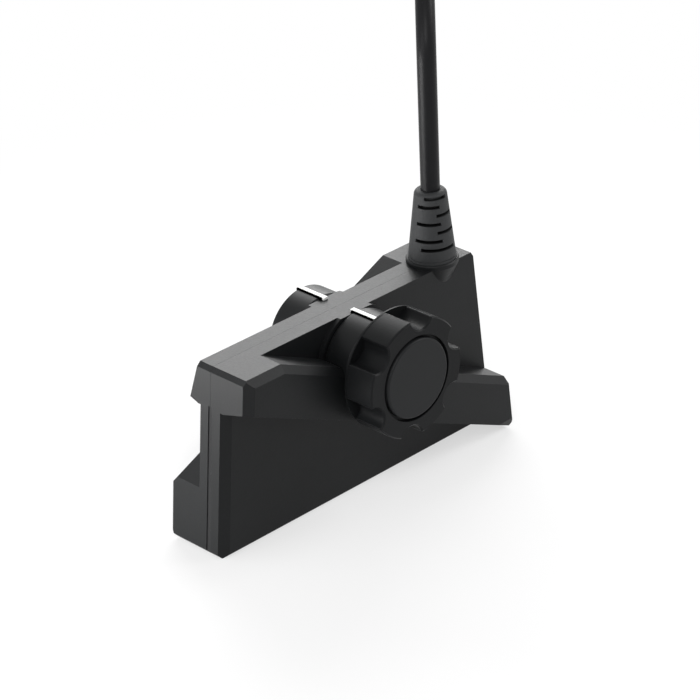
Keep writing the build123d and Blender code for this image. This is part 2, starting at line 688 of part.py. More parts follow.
# Plug
def plug_rod(radius, start, length):
    """A round bar on the plug's axis, from a distance along it."""
    middle = Pos(PLUG_START + start + length / 2, END_START[1], PLUG_RING_RADIUS)
    return middle * Rot(0, 90, 0) * Cylinder(radius, length)


def plug_pattern(count, start, length, radius, piece):
    """Copies of a piece about the plug's axis, at the middle of a length along it."""
    middle = Pos(PLUG_START + start + length / 2, END_START[1], PLUG_RING_RADIUS)
    return [middle * Rot(n * 360 / count, 0, 0) * Pos(0, 0, radius) * piece for n in range(count)]


RING_START = PLUG_TAIL_LENGTH + PLUG_BODY_LENGTH


def plug_body():
    """The moulded body with its tail."""
    body = plug_rod(PLUG_RADIUS, PLUG_TAIL_LENGTH, PLUG_BODY_LENGTH)
    shoulder = body.edges().filter_by(GeomType.CIRCLE).sort_by(Axis.X)[:1]
    body = chamfer(shoulder, PLUG_RADIUS - PLUG_TAIL_RADIUS)
    tail = plug_rod(PLUG_TAIL_RADIUS, 0, PLUG_TAIL_LENGTH)
    return body + tail - lead_tube(END_ROUTE)


def plug_ring():
    """The locking ring, with finger grips."""
    ring = plug_rod(PLUG_RING_RADIUS, RING_START, PLUG_RING_LENGTH)
    groove = Box(PLUG_RING_LENGTH - 3, 1.2, 1.0)
    for grip in plug_pattern(PLUG_RING_GRIPS, RING_START, PLUG_RING_LENGTH, PLUG_RING_RADIUS, groove):
        ring -= grip
    return ring - plug_rod(PLUG_SHELL_RADIUS + JOINT_GAP, RING_START, PLUG_RING_LENGTH + 1)


def plug_shell():
    """The tube inside the ring, with a floor that holds the contacts."""
    shell = plug_rod(PLUG_SHELL_RADIUS, RING_START, PLUG_RING_LENGTH - 1)
    return shell - plug_rod(PLUG_SHELL_RADIUS - PLUG_SHELL_WALL, RING_START + PLUG_SHELL_FLOOR, PLUG_RING_LENGTH)


def plug_contacts():
    """The contact pins, in a circle."""
    pin = Rot(0, 90, 0) * Cylinder(PIN_RADIUS, PIN_LENGTH)
    start = RING_START + PLUG_SHELL_FLOOR
    return together(plug_pattern(PLUG_PINS, start, PIN_LENGTH, PLUG_SHELL_RADIUS / 2, pin))


def save(node, shape):
    shape.label = node
    export_step(shape, f"parts/{node}.step")


for side, half_turn in SIDES:
    place = Rot(0, 0, half_turn)
    save(f"{side}_housing", place * half_housing(side))
    save(f"{side}_hub_ring", place * hub_ring(side))
    save(f"{side}_index_mark", place * index_mark(side))
    save(f"{side}_hub_seal", place * hub_seal())
    for level, spot in (("high", -HEAD_SPACING), ("low", HEAD_SPACING)):
        size = (HEAD_LENGTH, HEAD_WIDTH)
        save(f"{side}_{level}_window", place * head_block(spot, *size, CERAMIC_REACH, WINDOW_FLOOR))
        save(f"{side}_{level}_ceramic", place * ceramic(spot))
        save(f"{side}_{level}_backing", place * head_block(spot, *size, HEADER_REACH, BACKING_REACH))

save("seam_gasket", seam_gasket())
save("hub_sleeve", hub_sleeve())
save("thrust_washer", thrust_washer())
save("knob", knob())
save("knob_cap", knob_cap())
save("pivot_stud", stud())
save("stud_clip", stud_clip())
save("array_headers", array_headers())
save("main_board", main_board())
save("board_chips", board_chips())
save("strain_relief", strain_relief())
save("lead_ferrule", lead_ferrule())
save("lead_inner", lead_inner())
save("lead_wires", lead_wires())
save("lead", lead_tube(ROUTE))
save("lead_hank", lead_hank())
save("hank_tie", hank_tie())
save("lead_end", lead_tube(END_ROUTE))
save("plug_body", plug_body())
save("plug_ring", plug_ring())
save("plug_shell", plug_shell())
save("plug_contacts", plug_contacts())
tell("lead", ROUTE)
tell("lead end", END_ROUTE)
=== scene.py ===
"""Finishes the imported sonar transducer: plastics, rubber, metals, lead, hank and thread, on a pale floor."""
import json
import math

import bmesh
import bpy
from mathutils import Matrix, Vector


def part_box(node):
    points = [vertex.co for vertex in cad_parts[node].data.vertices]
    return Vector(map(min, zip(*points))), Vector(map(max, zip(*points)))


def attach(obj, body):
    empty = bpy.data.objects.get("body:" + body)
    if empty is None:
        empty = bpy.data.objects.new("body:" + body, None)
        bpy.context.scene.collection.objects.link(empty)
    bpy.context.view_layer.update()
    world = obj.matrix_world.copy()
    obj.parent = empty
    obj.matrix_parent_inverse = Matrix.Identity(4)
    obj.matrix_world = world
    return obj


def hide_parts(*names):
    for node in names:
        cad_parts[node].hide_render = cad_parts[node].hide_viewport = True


bl_info = {
    "name": "Sonar transducer finish",
    "version": (1, 0, 0),
    "blender": (4, 5, 0),
    "location": "3D View > Sidebar > Transducer",
    "description": "Dresses the packed sonar transducer: housings, hub, knob, lead, plug and inner parts",
    "category": "Object",
}

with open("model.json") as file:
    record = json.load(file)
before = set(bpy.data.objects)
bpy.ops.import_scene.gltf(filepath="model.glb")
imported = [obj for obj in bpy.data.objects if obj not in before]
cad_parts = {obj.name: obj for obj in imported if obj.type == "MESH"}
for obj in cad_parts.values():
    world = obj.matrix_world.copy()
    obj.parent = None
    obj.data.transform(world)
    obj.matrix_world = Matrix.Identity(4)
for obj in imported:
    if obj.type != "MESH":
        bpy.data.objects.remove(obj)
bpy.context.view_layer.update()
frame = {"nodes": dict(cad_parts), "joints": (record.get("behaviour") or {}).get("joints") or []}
MM = 0.001
# The pivot, in the plane where the halves meet, and the height of the slab's top in mm.
HUB_CENTRE = Vector((0, 0, frame["joints"][0]["pos_m"][2]))
SLAB_TOP = 68

# The lead and the strap round its hank in mm.
LEAD_DIAMETER = 6.7
TIE_THICKNESS = 0.8
# The lead's route from the top of the strain relief down to the hank, in mm, as in the part's source.
ROUTE = [(45.1, 0, 95), (45.1, 0, 150), (61.1, 15.6, 172.3), (83.5, 37.5, 172.3), (99.5, 53, 150),
         (104.2, 57.6, 108), (102.7, 56.2, 70), (92, 45.7, 40.5), (71.5, 28.5, 29.6), (50.5, 19.2, 24.8)]
# The stretch from the hank to the plug in mm.
END_ROUTE = [(60.85, 64.4, 4.15), (68.85, 64.4, 4.40), (76.85, 64.4, 6.35), (84.85, 64.4, 6.6)]
# The hank's folds in mm: two half circles joined by straight runs, in two columns and four rows.
FOLD_X, FOLD_Y = (9.15, 60.85), 37.6
INNER, OUTER = 20.6, 27.1
ROWS = [TIE_THICKNESS + LEAD_DIAMETER * (row + 0.5) for row in range(4)]
# Each turn's column and row, from the one that the lead comes down to.
TURNS = [(INNER, 3), (INNER, 2), (OUTER, 2), (OUTER, 1), (INNER, 1), (INNER, 0), (OUTER, 0)]

# Bends in degrees past which an edge is eased, and past which two broad faces meet in a plain edge.
SHARP_BEND, PLAIN_BEND = 13, 1
# The least area of a broad face in square mm, and the share of the radius that edges at the seam get.
BROAD_AREA, SEAM_SHARE = 60, 0.15


def linear(colour):
    """An sRGB hex colour as linear red, green and blue."""
    values = [int(colour[i:i + 2], 16) / 255 for i in (0, 2, 4)]
    return tuple(v / 12.92 if v <= 0.04045 else ((v + 0.055) / 1.055) ** 2.4 for v in values)


def with_alpha(colour):
    """A linear colour as an opaque one."""
    return (*colour, 1.0)


class TransducerSizes(bpy.types.PropertyGroup):
    """Sizes that a user would change."""
    lead_diameter: bpy.props.FloatProperty(
        name="Lead diameter", description="Across the lead's jacket",
        default=LEAD_DIAMETER * MM, unit="LENGTH")
    lead_length: bpy.props.FloatProperty(
        name="Lead length", description="From the strain relief to the plug, hank included", default=2.0,
        unit="LENGTH")
    edge_radius: bpy.props.FloatProperty(
        name="Edge radius", description="Rounding of the moulded edges", default=0.45 * MM, unit="LENGTH")
    thread_pitch: bpy.props.FloatProperty(
        name="Thread pitch", description="Pitch of the stud's thread", default=1.25 * MM, unit="LENGTH")
    tie_width: bpy.props.FloatProperty(
        name="Tie width", description="Width of the strap round the hank", default=8 * MM, unit="LENGTH")
    tie_thickness: bpy.props.FloatProperty(
        name="Tie thickness", description="Thickness of the strap round the hank",
        default=TIE_THICKNESS * MM, unit="LENGTH")


class TransducerColours(bpy.types.PropertyGroup):
    """Colours that a user would change."""
    shell: bpy.props.FloatVectorProperty(
        name="Housings", description="Moulded housing halves", subtype="COLOR", default=linear("161718"))
    knob: bpy.props.FloatVectorProperty(
        name="Knob", description="Hand knob and hub rings", subtype="COLOR", default=linear("131415"))
    relief: bpy.props.FloatVectorProperty(
        name="Strain relief", description="Slotted boot on the lead", subtype="COLOR",
        default=linear("323334"))
    jacket: bpy.props.FloatVectorProperty(
        name="Lead", description="Jacket of the lead", subtype="COLOR", default=linear("101012"))
    mark: bpy.props.FloatVectorProperty(
        name="Index marks", description="Pale bars on the hub rings", subtype="COLOR",
        default=linear("e9e9e7"))
    floor: bpy.props.FloatVectorProperty(
        name="Floor", description="Plain floor", subtype="COLOR", default=linear("f4f4f4"))


def add(tree, kind, inputs=None, **settings):
    """Adds one node: settings are its properties, inputs are values or sockets to link, by name or number."""
    made = tree.nodes.new(kind)
    for name, value in settings.items():
        setattr(made, name, value)
    for name, value in (inputs or {}).items():
        if isinstance(value, bpy.types.NodeSocket):
            tree.links.new(value, made.inputs[name])
        else:
            made.inputs[name].default_value = value
    return made


def new_material(name):
    """An empty node material, and its node tree."""
    material = bpy.data.materials.new(name)
    material.use_nodes = True
    material.node_tree.nodes.clear()
    return material, material.node_tree


def finished(material, tree, colour, roughness, normal=None, **constants):
    """Closes a material: a shader with linked colour, roughness and normal, and plain values for the rest."""
    inputs = {"Base Color": colour, "Roughness": roughness}
    inputs.update({name.replace("_", " "): value for name, value in constants.items()})
    if normal is not None:
        inputs["Normal"] = normal
    shader = add(tree, "ShaderNodeBsdfPrincipled", inputs)
    add(tree, "ShaderNodeOutputMaterial", {"Surface": shader.outputs[0]})
    return material


def moulded(name, colour, grain, depth, roughness, flow=22.0, tone=0.10, **constants):
    """A moulded plastic or rubber: a faint flow of tone from the gate, and the tool's eroded grain, in mm."""
    material, tree = new_material(name)
    place = add(tree, "ShaderNodeTexCoord").outputs["Object"]
    drift = add(tree, "ShaderNodeTexNoise", {"Vector": place, "Scale": 1 / (flow * MM), "Detail": 3.0})
    shade = add(tree, "ShaderNodeMapRange", {"Value": drift.outputs["Fac"], "From Min": 0.3, "From Max": 0.7,
                                             "To Min": 1 - tone, "To Max": 1 + tone})
    speck = add(tree, "ShaderNodeTexNoise", {"Vector": place, "Scale": 1 / (grain * MM), "Detail": 2.0,
                                             "Roughness": 0.6})
    fine = add(tree, "ShaderNodeTexVoronoi", {"Vector": place, "Scale": 1 / (grain * 1.6 * MM)})
    height = add(tree, "ShaderNodeMath", {0: speck.outputs["Fac"], 1: fine.outputs["Distance"]},
                 operation="ADD")
    tint = add(tree, "ShaderNodeVectorMath", {0: tuple(colour), "Scale": shade.outputs[0]}, operation="SCALE")
    rough = add(tree, "ShaderNodeMapRange", {
        "Value": speck.outputs["Fac"], "From Min": 0.25, "From Max": 0.75,
        "To Min": roughness[0], "To Max": roughness[1]})
    bump = add(tree, "ShaderNodeBump", {"Height": height.outputs[0], "Strength": 1.0, "Distance": depth * MM})
    return finished(material, tree, tint.outputs[0], rough.outputs[0], bump.outputs[0], **constants)


def turned(name, colour, dark, centre, groove, roughness, depth=0.004):
    """A turned metal part, with tool lines at equal distances from the line along Y through a centre.

    They ring a part that lies on that line, and break up into short marks on a part that lies across it.
    """
    material, tree = new_material(name)
    place = add(tree, "ShaderNodeTexCoord").outputs["Object"]
    moved = add(tree, "ShaderNodeMapping", {"Vector": place, "Location": tuple(-v for v in centre)})
    parts = add(tree, "ShaderNodeSeparateXYZ", {0: moved.outputs[0]})
    flat = add(tree, "ShaderNodeCombineXYZ", {"X": parts.outputs["X"], "Z": parts.outputs["Z"]})
    radius = add(tree, "ShaderNodeVectorMath", {0: flat.outputs[0]}, operation="LENGTH")
    lathe = add(tree, "ShaderNodeCombineXYZ", {"X": radius.outputs["Value"], "Y": parts.outputs["Y"]})
    lines = add(tree, "ShaderNodeTexNoise", {"Vector": lathe.outputs[0], "Scale": 1 / (groove * MM),
                                             "Detail": 2.0})
    stain = add(tree, "ShaderNodeTexNoise", {"Vector": place, "Scale": 1 / (6 * MM), "Detail": 3.0})
    mixed = add(tree, "ShaderNodeMix", {0: stain.outputs["Fac"], 6: with_alpha(linear(dark)),
                                        7: with_alpha(linear(colour))}, data_type="RGBA")
    rough = add(tree, "ShaderNodeMapRange", {"Value": lines.outputs["Fac"], "From Min": 0.3, "From Max": 0.7,
                                             "To Min": roughness[0], "To Max": roughness[1]})
    bump = add(tree, "ShaderNodeBump", {"Height": lines.outputs["Fac"], "Strength": 1.0,
                                        "Distance": depth * MM})
    return finished(material, tree, mixed.outputs[2], rough.outputs[0], bump.outputs[0], Metallic=1.0)


def striped(name, colours, direction, pitch, width, roughness, depth, **constants):
    """A cast or laminated part with straight lines across it, such as saw cuts or copper tracks, in mm."""
    material, tree = new_material(name)
    place = add(tree, "ShaderNodeTexCoord").outputs["Object"]
    along = add(tree, "ShaderNodeVectorMath", {0: place, 1: direction}, operation="DOT_PRODUCT")
    step = add(tree, "ShaderNodeMath", {0: along.outputs["Value"], 1: pitch * MM}, operation="DIVIDE")
    saw = add(tree, "ShaderNodeMath", {0: step.outputs[0]}, operation="FRACT")
    line = add(tree, "ShaderNodeMath", {0: saw.outputs[0], 1: width / pitch}, operation="LESS_THAN")
    dust = add(tree, "ShaderNodeTexNoise", {"Vector": place, "Scale": 1 / (0.8 * MM), "Detail": 4.0})
    mixed = add(tree, "ShaderNodeMix", {0: line.outputs[0], 6: with_alpha(linear(colours[0])),
                                        7: with_alpha(linear(colours[1]))}, data_type="RGBA")
    rough = add(tree, "ShaderNodeMapRange", {"Value": dust.outputs["Fac"], "From Min": 0.3, "From Max": 0.7,
                                             "To Min": roughness[0], "To Max": roughness[1]})
    height = add(tree, "ShaderNodeMath", {0: dust.outputs["Fac"], 1: line.outputs[0]}, operation="SUBTRACT")
    bump = add(tree, "ShaderNodeBump", {"Height": height.outputs[0], "Strength": 1.0, "Distance": depth * MM})
    return finished(material, tree, mixed.outputs[2], rough.outputs[0], bump.outputs[0], **constants)


def paint(node, material):
    """Gives a CAD node its material, on the node's own slots."""
    thing = frame["nodes"][node]
    if not thing.material_slots:
        thing.data.materials.append(material)
    for slot in thing.material_slots:
        slot.link = "OBJECT"
        slot.material = material


def object_of(name, mesh, body, material):
    """A finished piece from a mesh: at the origin, riding on its body."""
    piece = bpy.data.objects.new(name, mesh)
    bpy.context.scene.collection.objects.link(piece)
    mesh.materials.clear()
    mesh.materials.append(material)
    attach(piece, body)
    return piece


def whole(work):
    """Joins triangles that lie in one plane into whole faces."""
    bmesh.ops.dissolve_limit(work, angle_limit=math.radians(0.4), verts=work.verts, edges=work.edges)


def merged(node):
    """A merged copy of a CAD node's mesh as a bmesh, with whole flat faces."""
    work = bmesh.new()
    work.from_mesh(frame["nodes"][node].data)
    bmesh.ops.remove_doubles(work, verts=work.verts, dist=2e-6)
    whole(work)
    return work


def settled(base, name):
    """Works out an object's modifiers once, and returns the result as a plain mesh."""
    bpy.context.view_layer.update()
    mesh = bpy.data.meshes.new_from_object(base.evaluated_get(bpy.context.evaluated_depsgraph_get()))
    base.modifiers.clear()
    bpy.data.objects.remove(base)
    mesh.name = name
    return mesh


def eased(node, name, body, material, radius, cuts=(), shape=None, seam=0.0):
    """Stands for a CAD node: points moved by shape, corners cut off by planes in mm, and sharp edges eased.

    Without a radius, sharp edges stay as they are. Edges within the seam's reach in mm are eased far less.
    """
    work = merged(node)
    if shape:
        for vert in work.verts:
            vert.co = shape(vert.co)
    if seam:
        bmesh.ops.dissolve_degenerate(work, dist=1e-6, edges=work.edges[:])
        whole(work)
    for place, outward in cuts:
        parts = work.verts[:] + work.edges[:] + work.faces[:]
        cut = bmesh.ops.bisect_plane(work, geom=parts, plane_co=Vector(place) * MM, plane_no=Vector(outward),
                                     dist=1e-7, clear_outer=True)["geom_cut"]
        bmesh.ops.holes_fill(work, edges=[item for item in cut if isinstance(item, bmesh.types.BMEdge)])
    weight = work.edges.layers.float.new("bevel_weight_edge")
    for edge in work.edges:
        if len(edge.link_faces) != 2:
            continue
        bend = math.degrees(edge.calc_face_angle())
        if bend > SHARP_BEND:
            beside_seam = all(abs(vert.co.y) < seam * MM for vert in edge.verts)
            edge[weight] = SEAM_SHARE if beside_seam else 1.0
            edge.smooth = bool(radius)
        elif bend > PLAIN_BEND and min(face.calc_area() for face in edge.link_faces) > BROAD_AREA * MM * MM:
            edge.smooth = False
    for face in work.faces:
        face.smooth = True
    mesh = bpy.data.meshes.new(name)
    work.to_mesh(mesh)
    work.free()
    base = bpy.data.objects.new(name, mesh)
    bpy.context.scene.collection.objects.link(base)
    if radius:
        bevel = base.modifiers.new("eased edges", "BEVEL")
        bevel.width, bevel.segments, bevel.limit_method = radius, 2, "WEIGHT"
    flat = base.modifiers.new("flat broad faces", "WEIGHTED_NORMAL")
    flat.keep_sharp = True
    piece = object_of(name, settled(base, name), body, material)
    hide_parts(node)
    return piece


def block(name, low, high, body, material):
    """A plain block between two corners in mm."""
    low, high = Vector(low) * MM, Vector(high) * MM
    work = bmesh.new()
    bmesh.ops.create_cube(work, size=1.0)
    for vert in work.verts:
        vert.co = [low[i] + (vert.co[i] + 0.5) * (high[i] - low[i]) for i in range(3)]
    mesh = bpy.data.meshes.new(name)
    work.to_mesh(mesh)
    work.free()
    return object_of(name, mesh, body, material)


def grown(name, tree, values, start=None):
    """Runs a node tree once, on an empty mesh or on the start data, and returns a plain mesh."""
    base = bpy.data.objects.new(name + "_base", start or bpy.data.meshes.new(name + "_base"))
    bpy.context.scene.collection.objects.link(base)
    modifier = base.modifiers.new(name, "NODES")
    modifier.node_group = tree
    sockets = {item.name: item.identifier for item in tree.interface.items_tree if item.in_out == "INPUT"}
    for socket, value in values.items():
        modifier[sockets[socket]] = value
    return settled(base, name)


def tree_with(name, inputs):
    """A geometry node tree with named inputs, and the node that gives them."""
    tree = bpy.data.node_groups.new(name, "GeometryNodeTree")
    tree.interface.new_socket("Geometry", in_out="INPUT", socket_type="NodeSocketGeometry")
    for label, kind in inputs.items():
        tree.interface.new_socket(label, in_out="INPUT", socket_type=kind)
    tree.interface.new_socket("Geometry", in_out="OUTPUT", socket_type="NodeSocketGeometry")
    return tree, tree.nodes.new("NodeGroupInput")


def thread_tree():
    """A V-shaped ridge wound round the stud."""
    tree, given = tree_with("stud thread", {
        "Pitch": "NodeSocketFloat", "Length": "NodeSocketFloat", "Root radius": "NodeSocketFloat",
        "Ridge": "NodeSocketFloat", "Place": "NodeSocketVector", "Material": "NodeSocketMaterial"})
    turns = add(tree, "ShaderNodeMath", {0: given.outputs["Length"], 1: given.outputs["Pitch"]},
                operation="DIVIDE")
    spiral = add(tree, "GeometryNodeCurveSpiral", {
        "Resolution": 40, "Rotations": turns.outputs[0], "Start Radius": given.outputs["Root radius"],
        "End Radius": given.outputs["Root radius"], "Height": given.outputs["Length"]})
    upright = add(tree, "GeometryNodeSetCurveNormal", {"Curve": spiral.outputs[0]}, mode="Z_UP")
    ridge = add(tree, "GeometryNodeCurvePrimitiveCircle", {"Resolution": 3, "Radius": given.outputs["Ridge"]},
                mode="RADIUS")
    swept = add(tree, "GeometryNodeCurveToMesh", {
        "Curve": upright.outputs[0], "Profile Curve": ridge.outputs[0], "Fill Caps": True})
    placed = add(tree, "GeometryNodeTransform", {
        "Geometry": swept.outputs[0], "Translation": given.outputs["Place"],
        "Rotation": (math.radians(-90), 0, 0)})
    real = add(tree, "GeometryNodeRealizeInstances", {"Geometry": placed.outputs[0]})
    painted = add(tree, "GeometryNodeSetMaterial", {"Geometry": real.outputs[0],
                                                    "Material": given.outputs["Material"]})
    add(tree, "NodeGroupOutput", {0: painted.outputs[0]})
    return tree


def strap_tree():
    """A flat woven strap along a path, with a row of stitches near each edge."""
    tree, given = tree_with("hank strap", {
        "Width": "NodeSocketFloat", "Thickness": "NodeSocketFloat", "Corner": "NodeSocketFloat",
        "Stitch": "NodeSocketFloat", "Place": "NodeSocketVector", "Material": "NodeSocketMaterial"})
    bent = add(tree, "GeometryNodeFilletCurve", {
        "Curve": given.outputs["Geometry"], "Count": 8, "Limit Radius": True,
        "Radius": given.outputs["Corner"]}, mode="POLY")
    upright = add(tree, "GeometryNodeSetCurveNormal", {"Curve": bent.outputs[0]}, mode="Z_UP")
    gone = add(tree, "GeometryNodeSplineParameter")
    kept = add(tree, "GeometryNodeStoreNamedAttribute", {
        "Geometry": upright.outputs[0], "Name": "along", "Value": gone.outputs["Length"]},
        data_type="FLOAT", domain="POINT")
    section = add(tree, "GeometryNodeCurvePrimitiveQuadrilateral", {
        "Width": given.outputs["Thickness"], "Height": given.outputs["Width"]})
    # The strap's own edges are rounded by a quarter of a millimetre.
    soft = add(tree, "GeometryNodeFilletCurve", {
        "Curve": section.outputs[0], "Count": 2, "Radius": 0.25 * MM, "Limit Radius": True}, mode="POLY")
    band = add(tree, "GeometryNodeCurveToMesh", {
        "Curve": kept.outputs[0], "Profile Curve": soft.outputs[0], "Fill Caps": True})
    smooth = add(tree, "GeometryNodeSetShadeSmooth", {"Geometry": band.outputs[0], "Shade Smooth": True})
    spots = add(tree, "GeometryNodeCurveToPoints", {
        "Curve": kept.outputs[0], "Length": given.outputs["Stitch"]}, mode="LENGTH")
    bead = add(tree, "GeometryNodeMeshUVSphere", {"Segments": 6, "Rings": 4, "Radius": 1.0})
    stitches = []
    # The rows of stitches lie at these shares of the width from the strap's middle.
    for side in (-0.41, 0.41):
        edge = add(tree, "ShaderNodeMath", {0: given.outputs["Width"], 1: side}, operation="MULTIPLY")
        out = add(tree, "ShaderNodeMath", {0: given.outputs["Thickness"], 1: 0.5}, operation="MULTIPLY")
        step = add(tree, "ShaderNodeCombineXYZ", {"X": out.outputs[0], "Y": edge.outputs[0]})
        one = add(tree, "GeometryNodeTransform", {
            "Geometry": bead.outputs[0], "Translation": step.outputs[0],
            "Scale": (0.09 * MM, 0.16 * MM, 0.42 * MM)})
        stitches.append(add(tree, "GeometryNodeInstanceOnPoints", {
            "Points": spots.outputs["Points"], "Instance": one.outputs[0],
            "Rotation": spots.outputs["Rotation"]}).outputs[0])
    both = add(tree, "GeometryNodeJoinGeometry")
    for part in (smooth.outputs[0], *stitches):
        tree.links.new(part, both.inputs[0])
    # The path is drawn in its own plane, X for the object's Y and Y for its Z, and is stood up here.
    stood = add(tree, "GeometryNodeTransform", {
        "Geometry": both.outputs[0], "Translation": given.outputs["Place"],
        "Rotation": (math.radians(90), 0, math.radians(90))})
    real = add(tree, "GeometryNodeRealizeInstances", {"Geometry": stood.outputs[0]})
    painted = add(tree, "GeometryNodeSetMaterial", {"Geometry": real.outputs[0],
                                                    "Material": given.outputs["Material"]})
    add(tree, "NodeGroupOutput", {0: painted.outputs[0]})
    return tree


def hank_points():
    """Control points of the hank's turns in mm. Each turn gives way to the next round the right-hand fold."""
    # Degrees from one corner of the line to the next, round the left-hand and the right-hand fold.
    left_step, right_step = 30, 20
    # Points of the stretch on which a turn gives way, and those of them on the straight run at either end.
    steps, on_run = 15, 3
    # Shares of that stretch: how long a shift takes, and how much later it starts than the next turn's.
    shift, lag = 0.417, 0.117
    # Where the first turn starts along the hank, in mm.
    start = 36
    points = []

    def spot(side, step, number, radius, height):
        """A corner of the line round a fold, counted from where the fold begins."""
        angle = (-90, 90)[side] - step * (number + 0.5)
        reach = radius / math.cos(math.radians(step / 2))
        points.append((FOLD_X[side] + reach * math.cos(math.radians(angle)),
                       FOLD_Y + reach * math.sin(math.radians(angle)), height))

    for turn, (radius, row) in enumerate(TURNS):
        edge = radius * math.tan(math.radians(left_step / 2))
        if not turn:
            points.append((start, FOLD_Y - radius, ROWS[row]))
        points.append((FOLD_X[0] + edge, FOLD_Y - radius, ROWS[row]))
        for number in range(180 // left_step):
            spot(0, left_step, number, radius, ROWS[row])
        points.append((FOLD_X[0] + edge, FOLD_Y + radius, ROWS[row]))
        if turn == len(TURNS) - 1:
            break
        next_radius, next_row = TURNS[turn + 1]
        # The turns shift one after another, so that each one finds its new place free.
        begin = lag * (len(TURNS) - 2 - turn)
        for number in range(steps):
            share = min(1.0, max(0.0, ((number + 0.5) / steps - begin) / shift))
            share = share * share * (3 - 2 * share)
            wide = radius + (next_radius - radius) * share
            height = ROWS[row] + (ROWS[next_row] - ROWS[row]) * share
            run = min(number - on_run, 0) + max(number - (steps - 1 - on_run), 0)
            if run:
                back = wide * math.tan(math.radians(right_step / 2)) * (2 * abs(run) - 1)
                points.append((FOLD_X[1] - back, FOLD_Y - math.copysign(wide, run), height))
            else:
                spot(1, right_step, number - on_run, wide, height)
    return points


def sizes():
    """The sizes in the panel."""
    return bpy.context.scene.transducer_sizes


def colours():
    """The colours in the panel."""
    return bpy.context.scene.transducer_colours


class TRANSDUCER_OT_stage(bpy.types.Operator):
    """Camera at the photograph's viewing angle, floor, background and soft lights"""
    bl_idname = "transducer.stage"
    bl_label = "Stage"
    # The photograph's view: turn, tilt and roll in degrees, then distance, place aimed at and lens in mm.
    VIEW_ANGLES = (-43.89, 27.73, -2.5)
    VIEW_DISTANCE, AIM_ACROSS, AIM_HEIGHT, LENS = 1015.1, 2.78, 50.81, 154.3

    def execute(self, context):
        yaw, pitch, roll = (math.radians(angle) for angle in self.VIEW_ANGLES)
        back = Vector((math.sin(yaw) * math.cos(pitch), -math.cos(yaw) * math.cos(pitch), math.sin(pitch)))
        right = Vector((math.cos(yaw), math.sin(yaw), 0))
        up = back.cross(right)
        right, up = (right * math.cos(roll) + up * math.sin(roll),
                     up * math.cos(roll) - right * math.sin(roll))
        aim = right * self.AIM_ACROSS * MM + Vector((0, 0, self.AIM_HEIGHT)) * MM
        camera = bpy.data.cameras.new("camera")
        camera.lens, camera.sensor_width, camera.clip_start = self.LENS, 36.0, 0.01
        viewer = bpy.data.objects.new("camera", camera)
        context.scene.collection.objects.link(viewer)
        turn = Matrix((right, up, back)).transposed().to_4x4()
        viewer.matrix_world = Matrix.Translation(aim + back * self.VIEW_DISTANCE * MM) @ turn
        context.scene.camera = viewer
        context.scene.view_settings.view_transform = "Standard"

        self.floor(context)
        self.world(context)
        # Softboxes: name, where it stands in m, its width and height in m, and its power in W.
        for name, place, width, height, power in (
                ("back_softbox", (0.75, 0.78, 0.62), 1.1, 0.7, 17.0),
                ("left_softbox", (-1.1, 0.05, 0.45), 0.7, 0.7, 3.0),
                ("low_strip", (-0.24, 0.13, 0.03), 0.24, 0.05, 0.8),
                ("right_softbox", (0.82, -0.5, 0.72), 0.5, 0.5, 5.0),
                ("front_fill", (-0.72, -0.68, 0.92), 0.4, 0.4, 4.5)):
            lamp = bpy.data.lights.new(name, "AREA")
            lamp.shape, lamp.size, lamp.size_y, lamp.energy = "RECTANGLE", width, height, power
            stand = bpy.data.objects.new(name, lamp)
            context.scene.collection.objects.link(stand)
            stand.location = place
            stand.rotation_euler = (Vector((0, 0, 0.05)) - Vector(place)).to_track_quat("-Z", "Y").to_euler()
        return {"FINISHED"}

    @staticmethod
    def seen(tree):
        """1 where the camera or a reflection looks, 0 for light that bounces."""
        path = add(tree, "ShaderNodeLightPath")
        shiny = add(tree, "ShaderNodeMath", {
            0: path.outputs["Is Camera Ray"], 1: path.outputs["Is Glossy Ray"]}, operation="MAXIMUM")
        return add(tree, "ShaderNodeMath", {0: shiny.outputs[0], 1: path.outputs["Is Transmission Ray"]},
                   operation="MAXIMUM").outputs[0]

    def floor(self, context):
        """A wide pale floor that keeps the object's shadow and turns white away from it."""
        mesh = bpy.data.meshes.new("floor")
        work = bmesh.new()
        bmesh.ops.create_grid(work, x_segments=8, y_segments=8, size=4.0)
        bmesh.ops.translate(work, verts=work.verts, vec=(0, 0, -0.3 * MM))
        work.to_mesh(mesh)
        work.free()
        # Board with matt white paint: dull and even, with the roller's faint grain.
        material, tree = new_material("painted floor")
        place = add(tree, "ShaderNodeTexCoord").outputs["Object"]
        away = add(tree, "ShaderNodeVectorMath", {0: place}, operation="LENGTH")
        # The share of plain white grows from 0.10 m to 0.34 m from the object's middle.
        far = add(tree, "ShaderNodeMapRange", {
            "Value": away.outputs["Value"], "From Min": 0.10, "From Max": 0.34,
            "To Min": 0.6, "To Max": 1.0}, interpolation_type="SMOOTHSTEP")
        wide = add(tree, "ShaderNodeMath", {0: far.outputs[0], 1: self.seen(tree)}, operation="MULTIPLY")
        speck = add(tree, "ShaderNodeTexNoise", {"Vector": place, "Scale": 1 / (3 * MM), "Detail": 2.0})
        bump = add(tree, "ShaderNodeBump", {"Height": speck.outputs["Fac"], "Strength": 0.2,
                                            "Distance": 0.02 * MM})
        coat = add(tree, "ShaderNodeBsdfDiffuse", {"Color": with_alpha(colours().floor),
                                                   "Normal": bump.outputs[0]})
        white = add(tree, "ShaderNodeEmission", {"Color": (1, 1, 1, 1), "Strength": 1.0})
        both = add(tree, "ShaderNodeMixShader", {0: wide.outputs[0], 1: coat.outputs[0], 2: white.outputs[0]})
        add(tree, "ShaderNodeOutputMaterial", {"Surface": both.outputs[0]})
        mesh.materials.append(material)
        plate = bpy.data.objects.new("floor", mesh)
        context.scene.collection.objects.link(plate)

